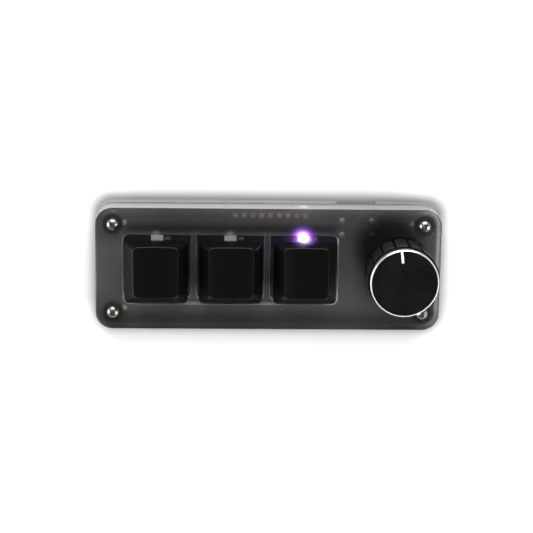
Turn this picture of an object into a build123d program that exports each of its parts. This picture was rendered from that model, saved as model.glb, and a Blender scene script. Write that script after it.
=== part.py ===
from build123d import *
import math
import os

os.makedirs("parts", exist_ok=True)

# Macro keypad with three sprung keys and one rotary push knob. Millimetres, +Z up.
# X runs along the case with the knob at +X, the user sits at -Y and the cable inlet faces +Y.
# The origin is the middle of the footprint, on the surface that the feet stand on.

# ---------------------------------------------------------------- driving dimensions
# Case outline and layers, from the feet up; its length follows from the keys and the knob
case_width = 36.0
corner_radius = 5.0
foot_height = 2.0
bottom_thickness = 1.5
lower_frame_thickness = 3.0
board_thickness = 1.6
key_frame_thickness = 3.0
top_thickness = 3.0

# Circuit board, set back from the outline
board_margin_left = 0.2
board_margin_right = 1.0
board_margin_y = 0.4

# M2 screws, standoffs and feet
screw_inset = 5.0
screw_radius = 0.98
screw_clearance = 0.22
thread_clearance = 0.04
screw_head_radius = 1.75
screw_head_height = 1.1
screw_head_crown = 0.66
screw_first_turn = 20.0
screw_turn_step = 35.0
recess_length = 2.0
recess_width = 0.45
recess_depth = 0.6
top_screw_length = 5.4
bottom_screw_length = 2.9
standoff_radius = 2.85
standoff_clearance = 0.1
standoff_floor = 0.4
stud_length = 3.0
foot_radius = 4.0
foot_inset_x = 14.0
foot_inset_y = 6.0
foot_edge = 0.5

# Lower frame
frame_rim = 3.0
corner_pad = 9.5
pocket_corner = 1.5

# Keycaps and the windows round them
key_count = 3
key_margin = 8.6
keycap_width = 18.2
key_gap = 3.15
key_y = 0.0
window_bar = 1.75
window_margin_y = 1.2
window_ledge = 0.2
window_corner = 2.0

# Keycap, measured from the board's top face
keycap_rest = 10.1
keycap_height = 7.6
keycap_crown = 8.7
keycap_taper_x = 2.95
keycap_front_slope = 3.8
keycap_back_slope = 0.25
keycap_corner = 1.2
keycap_top_corner = 2.4
keycap_wall = 1.2
keycap_inner_height = 6.0
keycap_inner_corners = (0.6, 1.2)
dish_radius = 25.0
dish_tilt = 2.5
mount_radius = 2.75
mount_above_cover = 0.1
mount_root = 0.2

# Switch, measured from the board's top face
key_travel = 4.0
base_size = 14.0
flange_size = 15.6
flange_z = 5.0
base_height = 6.0
switch_corner = 0.8
cavity_size = 11.0
cavity_floor = 1.2
cover_foot_size = 14.6
cover_top_x = 11.2
cover_top_y = 9.6
cover_height = 11.6
cover_wall = 1.0
cover_neck_length = 1.0
centre_post_radius = 2.0
centre_post_depth = 3.3
peg_radius = 0.85
peg_spacing = 5.08
peg_depth = 3.0
pole_radius = 1.25
slide_clearance = 0.05
stem_above_base = 0.4
stem_block_x = 8.0
stem_block_y = 6.6
neck_x = 7.0
neck_y = 5.4
neck_clearance = 0.1
cross_length = 4.08
cross_width = 1.2
cross_height = 3.6
cross_clearance = 0.03
spring_radius = 1.85
spring_wire = 0.15
spring_turns = 8
spring_well_clearance = 0.3
spring_seat_z = 9.0
contact_pin_radius = 0.4
contact_pins = ((3.81, -2.54, -4.6), (-2.54, -5.08, -5.08))
contact_blade = (2.2, 0.3, 4.8)
contact_lead = (0.8, 0.3)
socket_height = 1.85
socket_block_size = 4.4
socket_block_shift = 0.2
socket_bridge_width = 3.6
socket_relief = 0.2
socket_sleeve_radius = 1.45
socket_sleeve_recess = 0.2

# LEDs and small parts on the board
led_offset_y = 7.75
led_size = (3.4, 2.8)
led_flange_length = 5.0
led_flange_height = 0.35
led_slot_clearance = 0.1
led_recess = 0.05
led_lens_radius = 1.15
led_lens_depth = 0.1
capacitor_size = (1.6, 0.8, 0.8)
capacitor_offset = (3.1, 7.75)
passive_pitch = 2.6
passive_row_inset = 2.5
chip_y = 4.6
controller_size = (7.0, 7.0, 0.9)
memory_chip_size = (5.0, 4.0, 1.4)
crystal_size = (3.2, 2.5, 0.8)
crystal_corner = 0.3
crystal_inset = 5.5

# Rows of plated holes
header_pads = 9
header_pitch = 2.54
header_from_usb = 25.05
header_y_inset = 3.0
pad_radius = 0.8
pad_hole_radius = 0.5
corner_pad_offset = (3.2, 0.2)

# USB-C receptacle under the board
usb_from_knob = 12.7
usb_recess = 1.0
usb_width = 8.94
usb_height = 3.16
usb_length = 7.35
usb_wall = 0.3
usb_corner = 1.45
usb_leg_spacing = (8.64, 4.18)
usb_leg_from_mouth = 2.9
usb_leg_size = (0.3, 1.0)
usb_leg_slot_clearance = 0.15
usb_leg_strap = 0.6
usb_leg_protrusion = 0.3
usb_leg_relief = 0.9
usb_notch_margin = 1.1
usb_tongue = (6.6, 4.6, 0.7)
usb_plug_back = 1.6
usb_plug_clearance = 0.03

# Rotary push encoder, measured from the board's top face
knob_space = 8.5
knob_margin = 1.4
knob_y = -0.6
encoder_size = 11.6
encoder_height = 6.5
encoder_cover = 0.6
encoder_flap = 0.4
encoder_flap_width = 2.0
encoder_slot_clearance = 0.2
encoder_flap_protrusion = 0.8
encoder_opening_gap = 0.3
encoder_cavity_radius = 5.0
encoder_floor = 1.0
encoder_pin_reach = 1.2
encoder_pin_spacing = 2.5
encoder_pin_size = (0.8, 0.3)
encoder_pin_z = 0.5
encoder_pin_hole_clearance = 0.17
encoder_pin_protrusion = 1.0
bushing_length = 5.0
bushing_wall = 0.45
shaft_radius = 3.0
shaft_clearance = 0.05
shaft_length = 10.0
shaft_flat = 1.5
shaft_flat_above_bushing = 0.4
shaft_chamfer = 0.4
shaft_collar_width = 0.6
shaft_collar_height = 0.3
shaft_foot_size = 3.0
push_travel = 0.5
push_disc_height = 0.2
rotor_radius = 4.6
rotor_above_floor = 2.0
rotor_below_cover = 1.0

# Knob
knob_gap = 0.9
knob_height = 12.3
knob_radius = 10.3
knob_cap_radius = 10.0
knob_wall = 1.3
knob_cap_height = 2.2
knob_cap_rim = 0.8
knob_cap_face = 1.0
knob_bevel = 0.7
knob_hub_wall = 1.75
knob_hub_clearance = 0.2
knob_bore_end_clearance = 0.1
knob_web = 1.0
knob_ribs = 16
knob_first_groove_angle = 15.0
knob_groove_width = 0.5
knob_groove_depth = 0.45
knob_groove_from_rim = 0.6
knob_groove_from_shoulder = 0.4
pointer_width = 0.85
pointer_inner = 5.95
pointer_outer = 9.2
pointer_depth = 0.15
pointer_angle = 5.5

# ---------------------------------------------------------------- levels and places
bottom_z = foot_height
lower_frame_z = bottom_z + bottom_thickness
board_z = lower_frame_z + lower_frame_thickness
board_top = board_z + board_thickness
top_z = board_top + key_frame_thickness
deck = top_z + top_thickness

key_pitch = keycap_width + key_gap
keys_length = key_count * keycap_width + (key_count - 1) * key_gap
case_length = key_margin + keys_length + knob_space + 2 * knob_radius + knob_margin
first_key_x = key_margin + keycap_width / 2 - case_length / 2
key_x = [first_key_x + number * key_pitch for number in range(key_count)]
key_names = ("left", "middle", "right")
keys_centre = sum(key_x) / key_count
window_x = key_pitch - window_bar
window_y = keycap_width + 2 * window_margin_y
opening_x = (key_count - 1) * key_pitch + window_x
opening_y = window_y + 2 * window_ledge

knob_x = case_length / 2 - knob_margin - knob_radius
usb_x = knob_x - usb_from_knob
usb_mouth_y = case_width / 2 - usb_recess
screw_x = case_length / 2 - screw_inset
screw_y = case_width / 2 - screw_inset
corners = [(sx * screw_x, sy * screw_y) for sx in (-1, 1) for sy in (-1, 1)]
thread_radius = screw_radius + thread_clearance
bushing_radius = shaft_radius + shaft_clearance + bushing_wall
encoder_half = encoder_size / 2 + encoder_flap
passive_row_y = -(case_width / 2 - frame_rim - passive_row_inset)
crystal_y = -(case_width / 2 - frame_rim - crystal_inset)


# ---------------------------------------------------------------- helpers
def block(x_size, y_size, z_low, z_high, x=0.0, y=0.0):
    return Pos(x, y, (z_low + z_high) / 2) * Box(x_size, y_size, z_high - z_low)


def rod(radius, z_low, z_high, x=0.0, y=0.0):
    return Pos(x, y, (z_low + z_high) / 2) * Cylinder(radius, z_high - z_low)


def slab(x_size, y_size, radius, z_low, z_high, x=0.0, y=0.0):
    """A plate with rounded corners, standing on z_low."""
    return extrude(Pos(x, y, z_low) * RectangleRounded(x_size, y_size, radius), z_high - z_low)


def layer(z_low, thickness):
    """One sheet of the case, cut to its outline."""
    return slab(case_length, case_width, corner_radius, z_low, z_low + thickness)


def holes_at_corners(radius, z_low, z_high):
    return [rod(radius, z_low, z_high, x, y) for x, y in corners]


def save(name, *pieces):
    solids = [solid for piece in pieces for solid in piece.solids()]
    shape = solids[0] if len(solids) == 1 else Compound(solids)
    export_step(shape, f"parts/{name}.step")


# ---------------------------------------------------------------- case
def encoder_opening(z_low, z_high):
    size = 2 * (encoder_half + encoder_opening_gap)
    return block(size, size, z_low, z_high, knob_x, knob_y)


def encoder_pin_opening(z_low, z_high):
    """Room for the encoder's body and for the pins in front of it and behind it."""
    width = 2 * (encoder_half + encoder_opening_gap)
    depth = encoder_size + 2 * (encoder_pin_reach + 2 * encoder_opening_gap)
    return block(width, depth, z_low, z_high, knob_x, knob_y)


def top_plate():
    plate = layer(top_z, top_thickness)
    plate -= slab(opening_x, opening_y, window_corner, top_z, deck, keys_centre, key_y)
    plate -= encoder_opening(top_z, deck)
    return plate - holes_at_corners(screw_radius + screw_clearance, top_z, deck)


def key_frame():
    frame = layer(board_top, key_frame_thickness)
    for x in key_x:
        frame -= slab(window_x, window_y, window_corner, board_top, top_z, x, key_y)
    frame -= encoder_pin_opening(board_top, top_z)
    for x, y in usb_legs():
        frame -= rod(usb_leg_relief, board_top, top_z, x, y)
    return frame - holes_at_corners(standoff_radius + standoff_clearance, board_top, top_z)


def lower_frame():
    frame = layer(lower_frame_z, lower_frame_thickness)
    for inset_x, inset_y in ((frame_rim, corner_pad), (corner_pad, frame_rim)):
        length = case_length - 2 * inset_x
        width = case_width - 2 * inset_y
        frame -= slab(length, width, pocket_corner, lower_frame_z, board_z)
    frame -= usb_notch(lower_frame_z, board_z)
    return frame - holes_at_corners(standoff_radius + standoff_clearance, lower_frame_z, board_z)


def bottom_plate():
    plate = layer(bottom_z, bottom_thickness)
    plate -= usb_notch(bottom_z, lower_frame_z)
    return plate - holes_at_corners(screw_radius + screw_clearance, bottom_z, lower_frame_z)


def feet():
    foot = fillet(rod(foot_radius, 0, foot_height).edges().group_by(Axis.Z)[0], foot_edge)
    foot_x = case_length / 2 - foot_inset_x
    foot_y = case_width / 2 - foot_inset_y
    return [Pos(sx * foot_x, sy * foot_y, 0) * foot for sx in (-1, 1) for sy in (-1, 1)]


def pan_screw(length):
    """A screw pointing down, with the underside of its head at z = 0."""
    head = rod(screw_head_radius, 0, screw_head_height)
    crown = fillet(head.edges().group_by(Axis.Z)[-1], screw_head_crown)
    recess_z = screw_head_height - recess_depth
    screw = crown + rod(screw_radius, -length, 0)
    screw -= block(recess_length, recess_width, recess_z, screw_head_height)
    return screw - block(recess_width, recess_length, recess_z, screw_head_height)


def top_screws():
    """Each screw stops at its own turn, as tightened screws do."""
    screws = []
    for number, (x, y) in enumerate(corners):
        turn = screw_first_turn + number * screw_turn_step
        screws.append(Pos(x, y, deck) * Rot(0, 0, turn) * pan_screw(top_screw_length))
    return screws


def bottom_screws():
    screw = Rot(180, 0, 0) * pan_screw(bottom_screw_length)
    return [Pos(x, y, bottom_z) * screw for x, y in corners]


def upper_standoffs():
    """Spacers through the key frame, each with a threaded stud that goes down through the board."""
    standoff = rod(standoff_radius, board_top, top_z)
    standoff -= rod(thread_radius, board_top + standoff_floor, top_z)
    standoff += rod(screw_radius, board_top - stud_length, board_top)
    return [Pos(x, y, 0) * standoff for x, y in corners]


def lower_standoffs():
    standoff = rod(standoff_radius, lower_frame_z, board_z) - rod(thread_radius, lower_frame_z, board_z)
    return [Pos(x, y, 0) * standoff for x, y in corners]


# ---------------------------------------------------------------- circuit board
def header_places():
    first = usb_x - header_from_usb - header_pitch * (header_pads - 1) / 2
    y = case_width / 2 - header_y_inset
    return [(first + header_pitch * number, y) for number in range(header_pads)]


def corner_pad_places():
    dx, dy = corner_pad_offset
    return [(x - math.copysign(dx, x), y - math.copysign(dy, y)) for x, y in corners]


def usb_legs():
    dx, dy = usb_leg_spacing[0] / 2, usb_leg_spacing[1]
    first_y = usb_mouth_y - usb_leg_from_mouth
    return [(usb_x + sx * dx, first_y - row * dy) for sx in (-1, 1) for row in (0, 1)]


def encoder_pin_places():
    y = encoder_size / 2 + encoder_pin_reach
    signals = [(knob_x + step * encoder_pin_spacing, knob_y - y) for step in (-1, 0, 1)]
    switch = [(knob_x + step * encoder_pin_spacing, knob_y + y) for step in (-1, 1)]
    return signals + switch


def main_board():
    length = case_length - board_margin_left - board_margin_right
    width = case_width - 2 * board_margin_y
    middle_x = (board_margin_left - board_margin_right) / 2
    board = slab(length, width, corner_radius - board_margin_y, board_z, board_top, middle_x, 0)
    board -= holes_at_corners(screw_radius + screw_clearance, board_z, board_top)
    for x, y in header_places() + corner_pad_places():
        board -= rod(pad_radius, board_z, board_top, x, y)
    for x in key_x:
        board -= rod(centre_post_radius + slide_clearance, board_z, board_top, x, key_y)
        for side in (-1, 1):
            board -= rod(peg_radius + slide_clearance, board_z, board_top, x + side * peg_spacing, key_y)
        for pin_x, pin_y, _ in contact_pins:
            sleeve = socket_sleeve_radius + slide_clearance
            board -= rod(sleeve, board_z, board_top, x + pin_x, key_y + pin_y)
        slot_x = led_size[0] + 2 * led_slot_clearance
        slot_y = led_size[1] + 2 * led_slot_clearance
        board -= block(slot_x, slot_y, board_z, board_top, x, key_y + led_offset_y)
    leg_x, leg_y = (size + 2 * usb_leg_slot_clearance for size in usb_leg_size)
    for x, y in usb_legs():
        board -= block(leg_x, leg_y, board_z, board_top, x, y)
    pin_hole = math.hypot(*encoder_pin_size) / 2 + encoder_pin_hole_clearance
    for x, y in encoder_pin_places():
        board -= rod(pin_hole, board_z, board_top, x, y)
    slot_x = encoder_flap + 2 * encoder_slot_clearance
    slot_y = encoder_flap_width + 2 * encoder_slot_clearance
    for side in (-1, 1):
        flap_x = knob_x + side * (encoder_half - encoder_flap / 2)
        board -= block(slot_x, slot_y, board_z, board_top, flap_x, knob_y)
    return board


def board_pads():
    """Plated sleeves, flush with both faces of the board."""
    sleeve = rod(pad_radius, board_z, board_top) - rod(pad_hole_radius, board_z, board_top)
    return [Pos(x, y, 0) * sleeve for x, y in header_places() + corner_pad_places()]


def key_leds():
    """Reverse-mounted: the lens looks up through the board, the flange is soldered below."""
    face_z = board_top - led_recess
    body = block(*led_size, board_z - led_flange_height, face_z)
    body += block(led_flange_length, led_size[1], board_z - led_flange_height, board_z)
    body -= rod(led_lens_radius, face_z - led_lens_depth, face_z)
    return [Pos(x, key_y + led_offset_y, 0) * body for x in key_x]


def between_keys(number):
    return (key_x[number] + key_x[number + 1]) / 2


def board_passives():
    """Chip capacitors beside the LEDs, and the controller's small parts under the board."""
    length, width, height = capacitor_size
    parts = []
    for x in key_x:
        at_x = x + capacitor_offset[0]
        parts.append(block(length, width, board_top, board_top + height, at_x, key_y + capacitor_offset[1]))
    for middle_x, steps in ((between_keys(1), (-2, -1, 1, 2)), (between_keys(0), (-1, 0, 1))):
        for step in steps:
            at_x = middle_x + passive_pitch * step
            parts.append(block(length, width, board_z - height, board_z, at_x, passive_row_y))
    return parts


def microcontroller():
    length, width, height = controller_size
    return block(length, width, board_z - height, board_z, between_keys(1), key_y + chip_y)


def memory_chip():
    length, width, height = memory_chip_size
    return block(length, width, board_z - height, board_z, between_keys(0), key_y + chip_y)


def crystal():
    length, width, height = crystal_size
    return slab(length, width, crystal_corner, board_z - height, board_z, between_keys(1), crystal_y)


# ---------------------------------------------------------------- cable inlet
def usb_notch(z_low, z_high):
    """A notch open at the back edge, wide enough for the receptacle and a plug's collar."""
    width = usb_width + 2 * usb_notch_margin
    front = usb_mouth_y - usb_length - usb_notch_margin
    back = case_width / 2 + 1
    return block(width, back - front, z_low, z_high, usb_x, (front + back) / 2)


def usb_shell():
    middle_z = board_z - usb_height / 2
    face = Plane(origin=(usb_x, usb_mouth_y, middle_z), x_dir=(-1, 0, 0), z_dir=(0, 1, 0))
    outside = extrude(face * RectangleRounded(usb_width, usb_height, usb_corner), -usb_length)
    hollow = RectangleRounded(usb_width - 2 * usb_wall, usb_height - 2 * usb_wall, usb_corner - usb_wall)
    shell = outside - extrude(face * hollow, -usb_length)
    for x, y in usb_legs():
        side = math.copysign(1, x - usb_x)
        inner = usb_x + side * (usb_width / 2 - usb_wall)
        outer = x + side * usb_leg_size[0] / 2
        leg_top = board_top + usb_leg_protrusion
        strap_top = middle_z + usb_leg_strap
        shell += block(*usb_leg_size, middle_z, leg_top, x, y)
        shell += block(abs(outer - inner), usb_leg_size[1], middle_z, strap_top, (inner + outer) / 2, y)
    return shell


def usb_tongue_block():
    """The insulator that closes the shell's back, and the tongue that stands out of it."""
    middle_z = board_z - usb_height / 2
    back_y = usb_mouth_y - usb_length
    face = Plane(origin=(usb_x, back_y, middle_z), x_dir=(-1, 0, 0), z_dir=(0, 1, 0))
    inset = usb_wall + usb_plug_clearance
    inner = RectangleRounded(usb_width - 2 * inset, usb_height - 2 * inset, usb_corner - inset)
    width, length, thickness = usb_tongue
    tongue_y = back_y + usb_plug_back + length / 2
    tongue = block(width, length, middle_z - thickness / 2, middle_z + thickness / 2, usb_x, tongue_y)
    return extrude(face * inner, usb_plug_back) + tongue


# ---------------------------------------------------------------- switches
# Each function builds one piece about the switch's axis, with z = 0 on the board's top face.
def switch_base():
    base = block(base_size, base_size, 0, flange_z)
    base += slab(flange_size, flange_size, switch_corner, flange_z, base_height)
    base += rod(centre_post_radius, -centre_post_depth, 0)
    for side in (-1, 1):
        base += rod(peg_radius, -peg_depth, 0, side * peg_spacing)
    base -= block(cavity_size, cavity_size, cavity_floor, base_height)
    pole_tip = cavity_floor - slide_clearance - key_travel
    base -= rod(pole_radius + slide_clearance, pole_tip - slide_clearance, cavity_floor)
    for x, y, _ in contact_pins:
        base -= rod(contact_pin_radius + slide_clearance, 0, cavity_floor, x, y)
    return base


def switch_cover():
    foot = Pos(0, 0, base_height) * RectangleRounded(cover_foot_size, cover_foot_size, switch_corner)
    head = Pos(0, 0, cover_height) * RectangleRounded(cover_top_x, cover_top_y, switch_corner)
    cover = loft([foot, head])
    roof = cover_height - cover_wall
    inner_size = cover_foot_size - 2 * cover_wall
    inner_foot = Pos(0, 0, base_height) * Rectangle(inner_size, inner_size)
    inner_head = Pos(0, 0, roof) * Rectangle(cover_top_x - 2 * cover_wall, cover_top_y - 2 * cover_wall)
    cover -= loft([inner_foot, inner_head])
    throat_x = neck_x + 2 * neck_clearance
    throat_y = neck_y + 2 * neck_clearance
    return cover - block(throat_x, throat_y, roof - cover_neck_length, cover_height)


def switch_contacts():
    """Two leaves inside the cavity, each with a pin down through the board into the socket."""
    width, thickness, height = contact_blade
    lead_width, lead_thickness = contact_lead
    lead_top = cavity_floor + lead_thickness
    leaves = []
    for x, y, blade_y in contact_pins:
        leaf = rod(contact_pin_radius, -centre_post_depth, lead_top, x, y)
        reach = abs(blade_y - y) + thickness
        leaf += block(lead_width, reach, cavity_floor, lead_top, x, (blade_y + y) / 2)
        leaf += block(width, thickness, cavity_floor, height, x, blade_y)
        leaves.append(leaf)
    return leaves


def hotswap_socket():
    """Soldered under the board: two sleeves stand up in the board's holes and grip the pins."""
    low = -board_thickness - socket_height
    under = -board_thickness
    size, shift = socket_block_size, socket_block_shift
    (x1, y1, _), (x2, y2, _) = contact_pins
    socket = block(size, size, low, under, x1 + shift, y1 - shift)
    socket += block(size, size, low, under, x2 - shift, y2 + shift)
    socket += block(x1 - x2, socket_bridge_width, low, under, (x1 + x2) / 2, (y1 + y2) / 2)
    sleeve_top = -socket_sleeve_recess
    for x, y, _ in contact_pins:
        socket += rod(socket_sleeve_radius, under, sleeve_top, x, y)
        socket -= rod(contact_pin_radius + slide_clearance, low, sleeve_top, x, y)
    socket -= rod(centre_post_radius + socket_relief, low, under)
    return socket - rod(peg_radius + socket_relief, low, under, peg_spacing)


def stem():
    rest = base_height + stem_above_base
    shoulder = cover_height - cover_wall - slide_clearance
    body = block(stem_block_x, stem_block_y, rest, shoulder)
    body += block(neck_x, neck_y, shoulder, cover_height)
    body -= rod(spring_radius + spring_wire + spring_well_clearance, rest, spring_seat_z)
    body += rod(pole_radius, cavity_floor - slide_clearance, spring_seat_z)
    body += block(cross_length, cross_width, cover_height, cover_height + cross_height)
    return body + block(cross_width, cross_length, cover_height, cover_height + cross_height)


def spring():
    low = cavity_floor + spring_wire
    high = spring_seat_z - spring_wire
    path = Pos(0, 0, low) * Helix((high - low) / spring_turns, high - low, spring_radius)
    section = Plane(origin=path @ 0, z_dir=path % 0) * Circle(spring_wire)
    return sweep(section, path=path)


def tapered(outer, z_low, z_high, corner_low, corner_high):
    """A four-sided taper between two rounded rectangles, each given by its X and Y limits."""
    faces = []
    for (x_low, x_high, y_low, y_high), z, corner in zip(outer, (z_low, z_high), (corner_low, corner_high)):
        middle = Pos((x_low + x_high) / 2, (y_low + y_high) / 2, z)
        faces.append(middle * RectangleRounded(x_high - x_low, y_high - y_low, corner))
    return loft(faces)


def keycap():
    half = keycap_width / 2
    crown_x = half - keycap_taper_x
    skirt = (-half, half, -half, half)
    crown = (-crown_x, crown_x, -half + keycap_front_slope, half - keycap_back_slope)
    cap = tapered((skirt, crown), keycap_rest, keycap_rest + keycap_crown, keycap_corner, keycap_top_corner)
    share = keycap_inner_height / keycap_crown
    inner_x = half - keycap_wall - keycap_taper_x * share
    inner_top = (
        -inner_x,
        inner_x,
        -half + keycap_wall + keycap_front_slope * share,
        half - keycap_wall - keycap_back_slope * share,
    )
    inner_skirt = tuple(limit * (half - keycap_wall) / half for limit in skirt)
    ceiling = keycap_rest + keycap_inner_height
    cap -= tapered((inner_skirt, inner_top), keycap_rest, ceiling, *keycap_inner_corners)
    dish = Rot(90 - dish_tilt, 0, 0) * Cylinder(dish_radius, 3 * keycap_width)
    cap -= Pos(0, 0, keycap_rest + keycap_height + dish_radius) * dish
    mount_low = cover_height + mount_above_cover
    cap += rod(mount_radius, mount_low, ceiling + mount_root)
    long_side = cross_length + 2 * cross_clearance
    short_side = cross_width + 2 * cross_clearance
    cross_top = cover_height + cross_height + cross_clearance
    cap -= block(long_side, short_side, mount_low, cross_top)
    return cap - block(short_side, long_side, mount_low, cross_top)


# ---------------------------------------------------------------- encoder
# Each function builds one piece about the knob's axis, with z = 0 on the board's top face.
def encoder_base():
    base = block(encoder_size, encoder_size, 0, encoder_height - encoder_cover)
    return base - rod(encoder_cavity_radius, encoder_floor, encoder_height - encoder_cover)


def encoder_frame():
    low = encoder_height - encoder_cover
    frame = block(2 * encoder_half, encoder_size, low, encoder_height)
    for side in (-1, 1):
        x = side * (encoder_half - encoder_flap / 2)
        frame += block(encoder_flap, encoder_size, encoder_floor, low, x)
        flap_low = -board_thickness - encoder_flap_protrusion
        frame += block(encoder_flap, encoder_flap_width, flap_low, encoder_floor, x)
    frame += rod(bushing_radius, encoder_height, encoder_height + bushing_length)
    return frame - rod(shaft_radius + shaft_clearance, low, encoder_height + bushing_length)


def encoder_pins():
    """Each pin leaves the base flat and is bent down through the board."""
    edge = encoder_size / 2
    width, thickness = encoder_pin_size
    pin_top = encoder_pin_z + thickness
    pin_tip = -board_thickness - encoder_pin_protrusion
    reach = encoder_pin_reach + thickness / 2
    pins = []
    for x, y in encoder_pin_places():
        middle = math.copysign(edge + reach / 2, y - knob_y)
        pin = block(width, reach, encoder_pin_z, pin_top, x - knob_x, middle)
        pins.append(pin + block(width, thickness, pin_tip, pin_top, x - knob_x, y - knob_y))
    return pins


def push_contact():
    return rod(shaft_radius, encoder_floor, encoder_floor + push_disc_height)


def encoder_rotor():
    low = encoder_floor + rotor_above_floor
    high = encoder_height - encoder_cover - rotor_below_cover
    rotor = rod(rotor_radius, low, high)
    hole = shaft_foot_size + 2 * shaft_clearance
    return rotor - block(hole, hole, low, high)


def d_section(radius, flat, z_low, z_high):
    """A round bar with a flat at -Y, the distance flat from its axis."""
    bar = rod(radius, z_low, z_high)
    return bar - block(2 * radius, radius, z_low, z_high, 0, -flat - radius / 2)


def encoder_shaft():
    cover_low = encoder_height - encoder_cover
    shoulder = cover_low - shaft_clearance
    top = encoder_height + shaft_length
    flat_from = encoder_height + bushing_length + shaft_flat_above_bushing
    shaft = rod(shaft_radius, shoulder, flat_from) + d_section(shaft_radius, shaft_flat, flat_from, top)
    shaft = chamfer(shaft.edges().group_by(Axis.Z)[-1], shaft_chamfer)
    shaft += rod(shaft_radius + shaft_collar_width, shoulder - shaft_collar_height, shoulder)
    foot = encoder_floor + push_disc_height + slide_clearance + push_travel
    return shaft + block(shaft_foot_size, shaft_foot_size, foot, shoulder)


# ---------------------------------------------------------------- knob
# Built about its axis, with z = 0 on the board's top face.
knob_low = deck - board_top + knob_gap
knob_top = knob_low + knob_height
knob_shoulder = knob_top - knob_cap_height


def knob_body():
    body = rod(knob_radius, knob_low, knob_shoulder)
    body = chamfer(body.edges().group_by(Axis.Z)[-1], knob_radius - knob_cap_radius)
    spigot_radius = knob_cap_radius - knob_cap_rim - slide_clearance
    body += rod(spigot_radius, knob_shoulder, knob_top - knob_cap_face - slide_clearance)
    groove_low = knob_low + knob_groove_from_rim
    groove_high = knob_shoulder - knob_groove_from_shoulder
    groove = block(2 * knob_groove_depth, knob_groove_width, groove_low, groove_high, knob_radius)
    for rib in range(knob_ribs):
        body -= Rot(0, 0, knob_first_groove_angle + 360 / knob_ribs * rib) * groove
    hub_low = encoder_height + bushing_length + push_travel + knob_hub_clearance
    bore_radius = shaft_radius + slide_clearance
    hollow_top = knob_shoulder - knob_wall
    body -= rod(knob_radius - knob_wall, knob_low, hollow_top)
    body += rod(bore_radius + knob_hub_wall, hub_low, hollow_top)
    for turn in (0, 90):
        body += Rot(0, 0, turn + 45) * block(2 * (knob_radius - knob_wall), knob_web, hub_low, hollow_top)
    bore_top = encoder_height + shaft_length + knob_bore_end_clearance
    return body - d_section(bore_radius, shaft_flat + slide_clearance, hub_low, bore_top)


def knob_cap():
    cap = rod(knob_cap_radius, knob_shoulder, knob_top)
    cap = chamfer(cap.edges().group_by(Axis.Z)[-1], knob_bevel)
    cap -= rod(knob_cap_radius - knob_cap_rim, knob_shoulder, knob_top - knob_cap_face)
    return cap - pointer_line()


def pointer_line():
    """The filled groove in the cap's face, from near its middle to its edge."""
    length = pointer_outer - pointer_inner
    middle = (pointer_inner + pointer_outer) / 2
    line = block(pointer_width, length, knob_top - pointer_depth, knob_top, 0, middle)
    return Rot(0, 0, pointer_angle) * line


# ---------------------------------------------------------------- write every node
for make in (top_plate, key_frame, main_board, lower_frame, bottom_plate):
    save(make.__name__, make())
for make in (microcontroller, memory_chip, crystal):
    save(make.__name__, make())
for make in (feet, top_screws, bottom_screws, upper_standoffs, lower_standoffs):
    save(make.__name__, *make())
for make in (board_pads, key_leds, board_passives):
    save(make.__name__, *make())
save("usb_shell", usb_shell())
save("usb_tongue", usb_tongue_block())

key_pieces = (
    ("switch_base", [switch_base()]),
    ("switch_cover", [switch_cover()]),
    ("switch_contacts", switch_contacts()),
    ("switch_socket", [hotswap_socket()]),
    ("stem", [stem()]),
    ("spring", [spring()]),
    ("keycap", [keycap()]),
)
for side, x in zip(key_names, key_x):
    for piece, solids in key_pieces:
        save(f"{side}_{piece}", *[Pos(x, key_y, board_top) * solid for solid in solids])

knob_place = Pos(knob_x, knob_y, board_top)
save("encoder_pins", *[knob_place * pin for pin in encoder_pins()])
for make in (encoder_base, encoder_frame, push_contact, encoder_rotor, encoder_shaft):
    save(make.__name__, knob_place * make())
for make in (knob_body, knob_cap, pointer_line):
    save(make.__name__, knob_place * make())
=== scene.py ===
import math

import bmesh
import bpy
from mathutils import Matrix, Vector


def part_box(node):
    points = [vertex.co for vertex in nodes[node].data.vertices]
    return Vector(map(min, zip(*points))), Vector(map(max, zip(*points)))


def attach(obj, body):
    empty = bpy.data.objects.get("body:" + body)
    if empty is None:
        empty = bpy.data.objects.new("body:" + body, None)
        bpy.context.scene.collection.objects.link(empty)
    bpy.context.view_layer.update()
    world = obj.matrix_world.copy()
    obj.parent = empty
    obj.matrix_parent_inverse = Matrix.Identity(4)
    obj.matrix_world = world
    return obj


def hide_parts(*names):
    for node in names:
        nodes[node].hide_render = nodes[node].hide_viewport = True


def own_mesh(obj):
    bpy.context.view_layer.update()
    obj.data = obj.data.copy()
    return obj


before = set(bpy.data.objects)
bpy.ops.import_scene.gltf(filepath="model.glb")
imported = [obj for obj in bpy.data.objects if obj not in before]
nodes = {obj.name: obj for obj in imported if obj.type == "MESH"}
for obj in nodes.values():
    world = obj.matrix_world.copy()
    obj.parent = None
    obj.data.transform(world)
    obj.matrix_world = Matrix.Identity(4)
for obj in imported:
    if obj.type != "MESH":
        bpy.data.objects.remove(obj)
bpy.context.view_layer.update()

# Metres, +Z up: X runs along the case towards the knob, the user sits at -Y.
MM = 0.001
SIDES = ("left", "middle", "right")


def low(node):
    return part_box(node)[0]


def high(node):
    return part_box(node)[1]


def middle(node):
    return (low(node) + high(node)) / 2


def corner_spots(node, inset):
    """The corners of a node's box in plan, drawn in by an inset."""
    (left, front, _), (right, back, _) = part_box(node)
    return [(x, y) for x in (left + inset, right - inset) for y in (front + inset, back - inset)]


def link(name, data):
    """An object with this data, put in the scene."""
    piece = bpy.data.objects.new(name, data)
    bpy.context.scene.collection.objects.link(piece)
    return piece


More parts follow.
